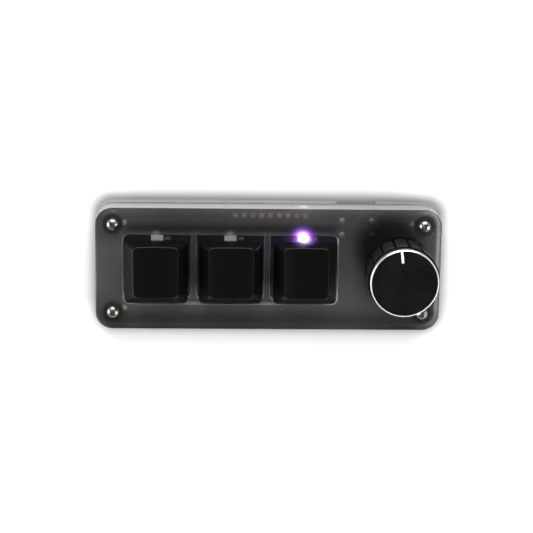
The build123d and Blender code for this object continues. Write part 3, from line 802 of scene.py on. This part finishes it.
def make_placing_tree():
    """One piece at each point, turned as the point's own turn says."""
    given, output = new_tree("Geometry", "placed_pieces", "Geometry Piece Finish", "Geometry")
    info = put("GeometryNodeObjectInfo", {"Object": given["Piece"]})
    turn = put("GeometryNodeInputNamedAttribute", {"Name": "turn"}, data_type="FLOAT_VECTOR")
    values = {"Points": given["Geometry"], "Instance": info.outputs["Geometry"], "Rotation": turn.outputs[0]}
    return end_tree(put("GeometryNodeInstanceOnPoints", values), given, output)


def make_coil_tree():
    """A round wire wound into a coil that stands on Place."""
    inputs = "Geometry Turns Height Radius Wire Place Finish"
    given, output = new_tree("Geometry", "coil", inputs, "Geometry")
    values = {"Resolution": 24, "Rotations": given["Turns"], "Start Radius": given["Radius"],
              "End Radius": given["Radius"], "Height": given["Height"]}
    path = put("GeometryNodeCurveSpiral", values)
    ring = put("GeometryNodeCurvePrimitiveCircle", {"Resolution": 8, "Radius": given["Wire"]})
    values = {"Curve": path.outputs[0], "Profile Curve": ring.outputs[0], "Fill Caps": True}
    wire = put("GeometryNodeCurveToMesh", values).outputs[0]
    placed = put("GeometryNodeTransform", {"Geometry": wire, "Translation": given["Place"]})
    return end_tree(placed, given, output)


TREES = {"placing": make_placing_tree(), "coil": make_coil_tree()}


def grow(name, tree_name, finish, start=None, **values):
    """Runs a tree on a mesh, or on none, and returns the plain mesh that comes out."""
    tree = TREES[tree_name]
    piece = link(name, start or bpy.data.meshes.new(name))
    modifier = piece.modifiers.new(tree_name, "NODES")
    modifier.node_group = tree
    sockets = {item.name: item.identifier for item in tree.interface.items_tree if item.in_out == "INPUT"}
    for label, value in {**values, "Finish": FINISHES[finish]}.items():
        modifier[sockets[label]] = value
    return settle_mesh(plain_copy(piece, name))


def place_copies(name, mesh, places, finish, turns=None):
    """Copies of one small mesh at the places given, each with its own turn."""
    points = bpy.data.meshes.new(f"{name}_points")
    points.from_pydata(places, [], [])
    turn = points.attributes.new("turn", "FLOAT_VECTOR", "POINT")
    for entry, angles in zip(turn.data, turns or [(0, 0, 0)] * len(places)):
        entry.vector = angles
    pattern = link(f"{name}_pattern", mesh)
    grown = grow(name, "placing", finish, start=points, Piece=pattern)
    bpy.data.objects.remove(pattern)
    return grown


# ---- case
leg_relief_radius = 0.9 * MM
polished_beyond_hole = 0.3 * MM


def case_outline():
    return rounded(case_low.x, case_high.x, case_low.y, case_high.y, case_corner, steps=12)


def screw_holes(radius):
    return [circle(radius, x, y, 32) for x, y in screw_places]


def key_window(side):
    """The opening round one key in the key frame."""
    front = 10.3 * MM
    back = 10.9 * MM
    place = key_places[side]
    left, right = place.x - window_side, place.x + window_side
    return rounded(left, right, place.y - front, place.y + back, window_corner)


def encoder_window(half_x, half_y):
    return block(knob_axis.x, knob_axis.y, half_x, half_y, encoder_room, 3)


def inlet_legs():
    """Where the receptacle's four legs come up through the board."""
    half_width = 4.32 * MM
    from_mouth = (2.9 * MM, (2.9 + 4.18) * MM)
    x = middle("usb_shell").x
    mouth = high("usb_shell").y
    return [(x + side * half_width, mouth - depth) for side in (-1, 1) for depth in from_mouth]


def inlet_notch():
    """The lower sheets' outline with the cable inlet's notch in its back edge."""
    margin = 1.1 * MM
    shell_low, shell_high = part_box("usb_shell")
    left = shell_low.x - margin
    right = shell_high.x + margin
    front = shell_low.y - margin
    outline = case_outline()
    back = case_high.y
    start = next(k for k, (x, y) in enumerate(outline) if y > back - 1e-6 and x < left)
    return outline[:start] + [(right, back), (right, front), (left, front), (left, back)] + outline[start:]


def make_case():
    plate_opening_front = -10.5 * MM
    plate_opening_back = 10.0 * MM
    frame_opening_half = 7.6 * MM
    clear = ("clear_acrylic", "clear_cut_edge", "window_cut_edge")
    opening = rounded(key_places["left"].x - window_side, key_places["right"].x + window_side,
                      plate_opening_front, plate_opening_back, window_corner)
    encoder_half = (high("encoder_frame").x - low("encoder_frame").x) / 2 + encoder_room
    holes = [opening, encoder_window(encoder_half, encoder_half), *screw_holes(screw_hole_radius)]
    under_heads = [(x, y, screw_head_radius + 0.25 * MM) for x, y in screw_places]
    top = sheet("top_sheet", case_outline(), holes, plate_low + sheet_gap, deck, sheet_edge,
                "frosted_acrylic", "frosted_cut_edge", "frosted_window_cut_edge", polished=under_heads)
    finish_piece("top_sheet", top, "case", "frosted_acrylic", "top_plate")

    holes = [key_window(side) for side in SIDES]
    holes.append(encoder_window(encoder_half, frame_opening_half))
    holes += [circle(leg_relief_radius, x, y, 32) for x, y in inlet_legs()]
    holes += screw_holes(standoff_hole_radius)
    polished = [(x, y, standoff_hole_radius + polished_beyond_hole) for x, y in screw_places]
    polished += [(x, y, leg_relief_radius + polished_beyond_hole) for x, y in inlet_legs()]
    key_frame = sheet("key_frame_sheet", case_outline(), holes, low("key_frame").z + sheet_gap,
                      plate_low - sheet_gap, frame_edge, *clear, polished=polished)
    finish_piece("key_frame_sheet", key_frame, "case", "clear_acrylic", "key_frame")

    bottom = sheet("bottom_sheet", inlet_notch(), screw_holes(screw_hole_radius), low("bottom_plate").z,
                   high("bottom_plate").z - sheet_gap, sheet_edge, *clear)
    finish_piece("bottom_sheet", bottom, "case", "clear_acrylic", "bottom_plate")

    ring = softened_node("lower_frame", sheet_edge)
    for vertex in ring.vertices:
        vertex.co.z = min(vertex.co.z, board_low - sheet_gap)
    finish_walls(ring, case_outline(), clear)
    finish_piece("lower_ring", ring, "case", "clear_acrylic", "lower_frame")


# ---- screws and feet
def recess_mesh(head):
    """The cross recess cut into a screw's head, deepest at its middle."""
    arm = 1.15 * MM
    width = 0.3 * MM
    rings = []
    for z, share in ((head - 0.9 * MM, 0.1), (head - 0.6 * MM, 0.75), (head + 0.1 * MM, 1.0)):
        rings.append([(x, y, z) for x, y in cross(arm * share, width * share)])
    return settle_mesh(ring_mesh("recess", rings, closed=True))


def screw_mesh(length):
    """A pan-head screw pointing down, its head's underside at z = 0, with a cross recess."""
    head = 1.1 * MM
    shank = 0.95 * MM
    core = 0.8 * MM
    pitch = 0.4 * MM
    profile = [(0, head), (0.55 * MM, head - 0.03 * MM), (1.05 * MM, head - 0.14 * MM),
               (1.45 * MM, 0.72 * MM), (1.68 * MM, 0.42 * MM), (screw_head_radius, 0.12 * MM),
               (screw_head_radius - 0.06 * MM, 0), (shank, 0)]
    for turn in range(int(length / pitch)):
        z = -turn * pitch
        profile += [(shank, z - 0.1 * pitch), (core, z - 0.5 * pitch), (shank, z - 0.9 * pitch)]
    profile += [(core * 0.8, -length), (0, -length)]
    body = link("screw_body", turned("screw_body", profile, count=40))
    cutter = link("recess", recess_mesh(head))
    cut = body.modifiers.new("recess", "BOOLEAN")
    cut.operation = "DIFFERENCE"
    cut.solver = "EXACT"
    cut.object = cutter
    screw = plain_copy(body, "screw")
    bpy.data.objects.remove(cutter)
    return settle_mesh(screw)


def make_screws():
    for name, length, height, tilt, first_turn, next_turn in (
            ("top_screws", 5.4 * MM, deck, 0, 20, 35),
            ("bottom_screws", 2.9 * MM, case_low.z, math.pi, 10, 50)):
        places = [(x, y, height) for x, y in screw_places]
        turns = [(tilt, 0, math.radians(first_turn + next_turn * number)) for number in range(4)]
        screws = place_copies(f"{name}_cut", screw_mesh(length), places, "nickel_plate", turns)
        finish_piece(f"{name}_cut", screws, "case", "screw_steel", name)


def make_feet():
    """Moulded rubber feet with a soft lower edge and a shallow dimple."""
    radius = 4.0 * MM
    soft = 0.6 * MM
    dimple = [(2.2 * MM, 0.0), (1.9 * MM, 0.25 * MM), (0, 0.3 * MM)]
    top = high("feet").z
    profile = [(0, top), (radius, top), (radius, soft)]
    for step in range(1, 6):
        angle = math.radians(18 * step)
        profile.append((radius - soft * (1 - math.cos(angle)), soft * (1 - math.sin(angle))))
    places = [(x, y, 0) for x, y in corner_spots("feet", radius)]
    feet = place_copies("moulded_feet", turned("foot", profile + dimple), places, "foot_rubber")
    finish_piece("moulded_feet", feet, "case", "foot_rubber", "feet")


# ---- keys
cap_half = 9.1 * MM
cap_side_lean = 2.9 * MM
cap_front_lean = 3.8 * MM
cap_crown = 8.7 * MM
cap_corner = 1.2 * MM
cap_corner_growth = 0.4 * MM
cap_soft_edge = 0.2 * MM
cap_middle_height = 7.6 * MM
cap_dish_radius = 25.0 * MM
cap_top_slope = math.radians(2.5)
cap_ceiling = 6.0 * MM
mount_radius = 2.75 * MM
mount_socket = (2.07 * MM, 0.63 * MM)
mount_foot = 11.7 * MM
mount_height = 4.4 * MM


def cap_outline(height, share, place):
    """The cap's outline at a share of its height: the front leans most, the back stands upright."""
    half = cap_half - cap_side_lean * share
    front = place.y - cap_half + cap_front_lean * share
    corner = cap_corner + cap_corner_growth * share
    outline = rounded(place.x - half, place.x + half, front, place.y + cap_half, corner, side_steps=12)
    return [Vector((x, y, height)) for x, y in outline]


def cap_top(point, place, rim):
    """Height of the dished top above a point."""
    dish = math.sqrt(cap_dish_radius ** 2 - (point.x - place.x) ** 2)
    slope = math.tan(cap_top_slope) * (point.y - place.y)
    return rim + cap_middle_height + cap_dish_radius - dish - slope


def shoulder_rings(place, rim, centre, count):
    """The soft edge between the cap's walls and its dished top."""
    steps = 6
    rings = [[] for _ in range(steps)]
    for k in range(count):
        share = 0.88
        for _ in range(12):
            corner = cap_outline(0, share, place)[k]
            share = (cap_top(corner, place, rim) - rim) / cap_crown
        corner.z = cap_top(corner, place, rim)
        below = cap_outline(corner.z - cap_soft_edge, share - cap_soft_edge / cap_crown, place)[k]
        inward = (centre - corner).to_2d().normalized() * cap_soft_edge
        inside = Vector((corner.x + inward.x, corner.y + inward.y, 0))
        inside.z = cap_top(inside, place, rim)
        for step, ring in enumerate(rings):
            t = step / (steps - 1)
            ring.append(below * (1 - t) ** 2 + corner * 2 * t * (1 - t) + inside * t ** 2)
    return rings


def hollow_ring(place, rim, height, share, inset):
    """A ring of the cap's hollow: its outline at a height, drawn in towards its middle."""
    centre = Vector((place.x, place.y, rim + height))
    return [point + (centre - point).normalized() * inset for point in cap_outline(centre.z, share, place)]


def keycap_mesh(name, place, rim):
    """Sculptured cap with soft edges, a dished top and a hollow underside."""
    foot_edge = cap_outline(rim, 0.0, place)
    levels = (0.02, 0.1, 0.25, 0.4, 0.55, 0.7)
    walls = [cap_outline(rim + cap_crown * share, share, place) for share in levels]
    centre = Vector((place.x, place.y + 1.8 * MM, 0))
    shoulder = shoulder_rings(place, rim, centre, len(foot_edge))
    tops = []
    for share in (0.94, 0.8, 0.62, 0.44, 0.26, 0.1, 0.0):
        spots = [centre + (point - centre) * share for point in shoulder[-1]]
        tops.append([Vector((spot.x, spot.y, cap_top(spot, place, rim))) for spot in spots])
    hollow = [hollow_ring(place, rim, height * MM, share, inset * MM) for height, share, inset in (
        (6.0, 0.69, 2.125), (5.6, 0.64, 1.5), (4.0, 0.46, 1.5), (2.0, 0.23, 1.5), (0.0, 0.0, 1.5))]
    ceiling = [Vector((place.x, place.y, rim + cap_ceiling)) for _ in foot_edge]
    rings = [ceiling, *hollow, foot_edge, *walls, *shoulder, *tops]
    return settle_mesh(ring_mesh(name, rings), 50)


def mount_mesh(place):
    """The post under the cap with its cross-shaped socket."""
    z_low = board_top + mount_foot
    outline, socket = circle(mount_radius, place.x, place.y), cross(*mount_socket, place.x, place.y)
    return sheet("mount", outline, [socket], z_low, z_low + mount_height, 0.05 * MM, "keycap_plastic")


def make_keys():
    for side in SIDES:
        place = key_places[side]
        cap = keycap_mesh(f"{side}_cap", place, low(f"{side}_keycap").z)
        mesh = join(f"{side}_cap", [cap, mount_mesh(place)])
        cover(mesh, "keycap_plastic")
        finish_piece(f"{side}_cap", mesh, f"{side}_key", "keycap_plastic", f"{side}_keycap")


# ---- knob
grip_radius = 10.3 * MM
groove_depth = 0.45 * MM
groove_angle = math.radians(3.0)
panel_count = 16
first_panel_turn = math.radians(15)
panel_soft_edge = 0.16 * MM
lid_radius = 9.8 * MM
lid_bevel = 0.34 * MM
pointer_turn = math.radians(6.9)
pointer_half_width = 0.35 * MM
pointer_reach = (5.95 * MM, 9.36 * MM)
paint_edge = 0.008 * MM


def make_grip():
    """A drum with a groove round it, in which the raised panels of the grip stand."""
    x, y = knob_axis.x, knob_axis.y
    base = low("knob_body").z
    shoulder = low("knob_cap").z
    floor_radius = grip_radius - groove_depth
    groove_low = base + 0.6 * MM
    groove_high = shoulder - 0.4 * MM
    rim_inside = grip_radius - 1.3 * MM
    hollow = shoulder - 1.3 * MM
    hub_inside = 3.1 * MM
    hub_outside = 4.8 * MM
    hub_foot = base + 1.5 * MM
    crown = shoulder - 0.02 * MM
    drum = turned("knob_drum", [
        (rim_inside, base), (grip_radius - 0.15 * MM, base), (grip_radius, base + 0.12 * MM),
        (grip_radius, groove_low - 0.05 * MM), (floor_radius, groove_low), (floor_radius, groove_high),
        (grip_radius - 0.02 * MM, groove_high + 0.05 * MM), (grip_radius - 0.1 * MM, shoulder - 0.12 * MM),
        (grip_radius - 0.25 * MM, crown), (hub_inside, crown), (hub_inside, hub_foot),
        (hub_outside, hub_foot), (hub_outside, hollow), (rim_inside, hollow)], x, y, 128)
    # The drum's darker, duller finish paints shade into the grooves between the panels.
    cover(drum, "knob_core")
    panel = panel_mesh(floor_radius, groove_low, groove_high)
    turns = [(0, 0, first_panel_turn + 2 * math.pi * (k + 0.5) / panel_count) for k in range(panel_count)]
    panels = place_copies("knob_panels", panel, [(x, y, 0)] * panel_count, "knob_plastic", turns)
    finish_piece("knob_grip", join("knob_grip", [drum, panels]), "knob", "knob_plastic", "knob_body")


def panel_mesh(floor_radius, z_low, z_high):
    """One raised panel of the knob's grip, centred on +X, with soft edges."""
    half = math.pi / panel_count - groove_angle / 2
    soft = panel_soft_edge
    turn = soft / grip_radius
    foot_radius = floor_radius + 0.1 * MM
    inner_band = 0.6 * MM
    sunk_share = 0.97
    across = [-half, -half + turn * 0.3, -half + turn] + [half * k / 4 for k in range(-3, 4)]
    across += [half - turn, half - turn * 0.3, half]
    up = [z_low, z_low + soft * 0.3, z_low + soft, z_low + inner_band, (z_low + z_high) / 2,
          z_high - inner_band, z_high - soft, z_high - soft * 0.3, z_high]

    def lift(position, positions):
        edge = min(position, len(positions) - 1 - position)
        return (0.0, 0.7, 1.0)[min(edge, 2)]

    work = bmesh.new()
    grid = []
    for row, z in enumerate(up):
        line = []
        for column, angle in enumerate(across):
            r = foot_radius + (grip_radius - foot_radius) * min(lift(row, up), lift(column, across))
            line.append(work.verts.new((r * math.cos(angle), r * math.sin(angle), z)))
        grid.append(line)
    for one, two in zip(grid, grid[1:]):
        for a, b, c, d in zip(one, one[1:], two[1:], two):
            work.faces.new((a, b, c, d))
    rim = grid[0] + [line[-1] for line in grid[1:]] + grid[-1][-2::-1] + [line[0] for line in grid[-2:0:-1]]
    sunk = [work.verts.new((v.co.x * sunk_share, v.co.y * sunk_share, v.co.z)) for v in rim]
    for a, b, c, d in zip(rim, sunk, sunk[1:] + sunk[:1], rim[1:] + rim[:1]):
        work.faces.new((a, b, c, d))
    work.faces.new(sunk)
    return settle_mesh(mesh_of("knob_panel", work), 60)


def make_lid():
    """The knob's turned lid: a spun face, a bright bevel and a dark side, with the painted line on it."""
    x, y = knob_axis.x, knob_axis.y
    shoulder = low("knob_cap").z
    top = high("knob_cap").z
    face_height = top - 0.03 * MM
    underside = top - 1.0 * MM
    inside = 9.2 * MM
    bevel_radius = lid_radius - lid_bevel
    lid = turned("knob_lid", [
        (0, face_height), (bevel_radius - 0.3 * MM, face_height), (bevel_radius, face_height),
        (lid_radius, face_height - lid_bevel), (lid_radius, shoulder + 0.05 * MM),
        (lid_radius - 0.05 * MM, shoulder), (inside, shoulder), (inside, underside),
        (0, underside)], x, y, 160)
    for name in ("anodised_face", "cut_bevel", "anodised_side"):
        lid.materials.append(FINISHES[name])
    for face in lid.polygons:
        outside = (face.center.xy - Vector((x, y))).length > lid_radius - 0.1 * MM
        slanted = 0.5 < face.normal.z < 0.9
        face.material_index = 1 if slanted else 2 if outside else 0
    finish_piece("knob_lid", lid, "knob", "knob_aluminium", "knob_cap")

    turn = Matrix.Rotation(pointer_turn, 3, "Z")
    outline = rounded(-pointer_half_width, pointer_half_width, *pointer_reach, pointer_half_width * 0.8, 5)
    spots = [turn @ Vector((px, py, 0)) for px, py in outline]
    outline = [(x + spot.x, y + spot.y) for spot in spots]
    line = sheet("painted_line", outline, [], face_height, top, paint_edge, "pointer_paint")
    finish_piece("painted_line", line, "knob", "pointer_paint", "pointer_line")


# ---- board and small parts
lamp_half_width = 1.7 * MM
lamp_half_depth = 1.4 * MM
lens_radius = 1.15 * MM
flange_half_width = 2.5 * MM
flange_thickness = 0.35 * MM
pad_dome = 0.2 * MM
leg_dome = 0.6 * MM


def make_lamps():
    """Reverse-mounted lamps: a pale body in the board's slot, with a round lens and soldered ends."""
    foot, y, top = low("key_leds").z, middle("key_leds").y, high("key_leds").z
    for side in SIDES:
        x = key_places[side].x
        outline = block(x, y, lamp_half_width, lamp_half_depth, 0.25 * MM, 4)
        body = sheet("lamp", outline, [], foot, top, 0.1 * MM, "led_body")
        lens = turned("lens", [(0, top + 0.04 * MM), (0.8 * MM, top), (lens_radius, top - 0.12 * MM),
                               (lens_radius, top - 0.4 * MM), (0, top - 0.4 * MM)], x, y, 40)
        cover(lens, "lit_lens" if side == lit_side else "led_lens")
        outline = block(x, y, flange_half_width, lamp_half_depth, 0.2 * MM, 3)
        flange = sheet("flange", outline, [], foot, foot + flange_thickness, 0.05 * MM, "solder")
        lamp = join(f"{side}_lamp", [body, lens, flange])
        finish_piece(f"{side}_lamp", lamp, "case", "led_body", "key_leds")


def pad_places():
    """The middles of the board's plated pads: a row near the back edge and one by each screw."""
    pads_low, pads_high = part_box("board_pads")
    points = [vertex.co for vertex in nodes["board_pads"].data.vertices]
    row_front = pads_high.y - 2 * pad_radius - 0.05 * MM
    in_row = [point.x for point in points if point.y > pads_high.y - pad_radius]
    by_back_screws = max(point.y for point in points if point.y < row_front) - pad_radius
    first = min(in_row) + pad_radius
    step = (max(in_row) - pad_radius - first) / (row_pads - 1)
    places = [(first + step * number, pads_high.y - pad_radius) for number in range(row_pads)]
    places += [(x, y) for x in (pads_low.x + pad_radius, pads_high.x - pad_radius)
               for y in (pads_low.y + pad_radius, by_back_screws)]
    return [(x, y, board_top) for x, y in places]


def make_solder():
    """Domes of solder on the plated pads and round the receptacle's legs, on the board's top face."""
    pads = pad_places()
    legs = [(x, y, board_top) for x, y in inlet_legs()]
    for name, height, places, finish in (
            ("row_solder", pad_dome, pads[:row_pads], "solder"),
            # The corner pads and the legs carry a painted glint.
            ("corner_solder", pad_dome, pads[row_pads:], "bright_solder"),
            ("leg_solder", leg_dome, legs, "bright_solder")):
        shape = ((0, 1), (0.6, 0.93), (0.85, 0.6), (1, 0.1), (1, 0), (0, 0))
        dome = turned(f"{name}_dome", [(r * pad_radius, z * height) for r, z in shape], count=32)
        finish_piece(name, place_copies(name, dome, places, finish), "case", "tinned_copper")


def make_springs():
    """The keys' coil springs; each stands on the board under its key."""
    wire = 0.15 * MM
    for side in SIDES:
        spring_low, spring_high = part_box(f"{side}_spring")
        height = spring_high.z - spring_low.z
        anchor = middle(f"{side}_spring")
        anchor.z = spring_low.z
        coil = grow(f"{side}_coil", "coil", "plated_sheet", Turns=8.0, Height=height - 2 * wire, Wire=wire,
                    Radius=(spring_high.x - spring_low.x) / 2 - wire, Place=anchor + Vector((0, 0, wire)))
        piece = finish_piece(f"{side}_coil", coil, "case", "spring_steel", f"{side}_spring")
        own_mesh(piece)


# ---- finishes of the nodes that stay
sockets = [f"{side}_switch_socket" for side in SIDES]
NODE_FINISHES = {
    "circuit_board": ["main_board"],
    "black_nylon": ["upper_standoffs", "lower_standoffs"],
    "solder": ["board_pads", "encoder_pins"],
    "chip_ceramic": ["board_passives"],
    "chip_resin": ["microcontroller", "memory_chip"],
    "plated_sheet": ["crystal", "usb_shell", "encoder_frame", "push_contact", "encoder_shaft"],
    "insulator": ["usb_tongue", "encoder_base", "encoder_rotor"] + sockets,
    "switch_housing": [f"{side}_switch_{part}" for side in SIDES for part in ("base", "cover")],
    "gold_plate": [f"{side}_switch_contacts" for side in SIDES],
    "stem_plastic": [f"{side}_stem" for side in SIDES],
}


def paint_nodes():
    for finish, names in NODE_FINISHES.items():
        for name in names:
            cover(nodes[name].data, finish)


# ---- studio
floor_half = 4.0
light_bounces = 16


def softbox(name, azimuth, elevation, distance, size, power):
    """A soft lamp aimed at the keypad; azimuth 0 stands at +X and 90 at +Y."""
    data = bpy.data.lights.new(name, "AREA")
    data.shape = "RECTANGLE"
    data.size, data.size_y = size
    data.energy = power
    a, e = math.radians(azimuth), math.radians(elevation)
    place = Vector((math.cos(a) * math.cos(e), math.sin(a) * math.cos(e), math.sin(e))) * distance
    lamp = link(name, data)
    lamp.location = place
    lamp.rotation_euler = place.to_track_quat("Z", "Y").to_euler()


def key_glow():
    """The lit lamp's own light on the walls and caps round it."""
    data = bpy.data.lights.new("lamp_light", "POINT")
    data.energy = 0.004
    data.color = LAMP_COLOUR
    data.shadow_soft_size = 1.0 * MM
    link("lamp_light", data).location = lamp_point(board_top + 1.2 * MM)


def make_studio():
    floor = bpy.data.meshes.new("floor")
    corners = [(x * floor_half, y * floor_half, 0) for x, y in ((-1, -1), (1, -1), (1, 1), (-1, 1))]
    floor.from_pydata(corners, [], [(0, 1, 2, 3)])
    cover(floor, "pale_floor")
    link("floor", floor)

    scene = bpy.context.scene
    scene.world = bpy.data.worlds.new("studio")
    clear_bench(scene.world)
    height = axes(put("ShaderNodeTexCoord").outputs["Generated"])["Z"]
    strength = grade(height, (0.45, 0.8), (0.42, 0.05))
    background = put("ShaderNodeBackground", {"Color": paint(1.0), "Strength": strength})
    put("ShaderNodeOutputWorld", {"Surface": background.outputs[0]})

    softbox("left_box", 185, 32, 1.1, (0.9, 0.7), 9)
    softbox("right_box", -20, 40, 1.2, (0.7, 0.6), 9)
    softbox("back_box", 88, 35, 1.2, (1.2, 1.2), 19)
    key_glow()

    scene.view_settings.view_transform = "Standard"
    scene.cycles.caustics_reflective = False
    scene.cycles.caustics_refractive = False
    for kind in ("max_bounces", "transmission_bounces", "transparent_max_bounces"):
        setattr(scene.cycles, kind, light_bounces)
    scene.cycles.sample_clamp_indirect = 4.0


make_camera()
make_studio()
make_case()
make_screws()
make_feet()
make_keys()
make_grip()
make_lid()
make_lamps()
make_solder()
make_springs()
paint_nodes()
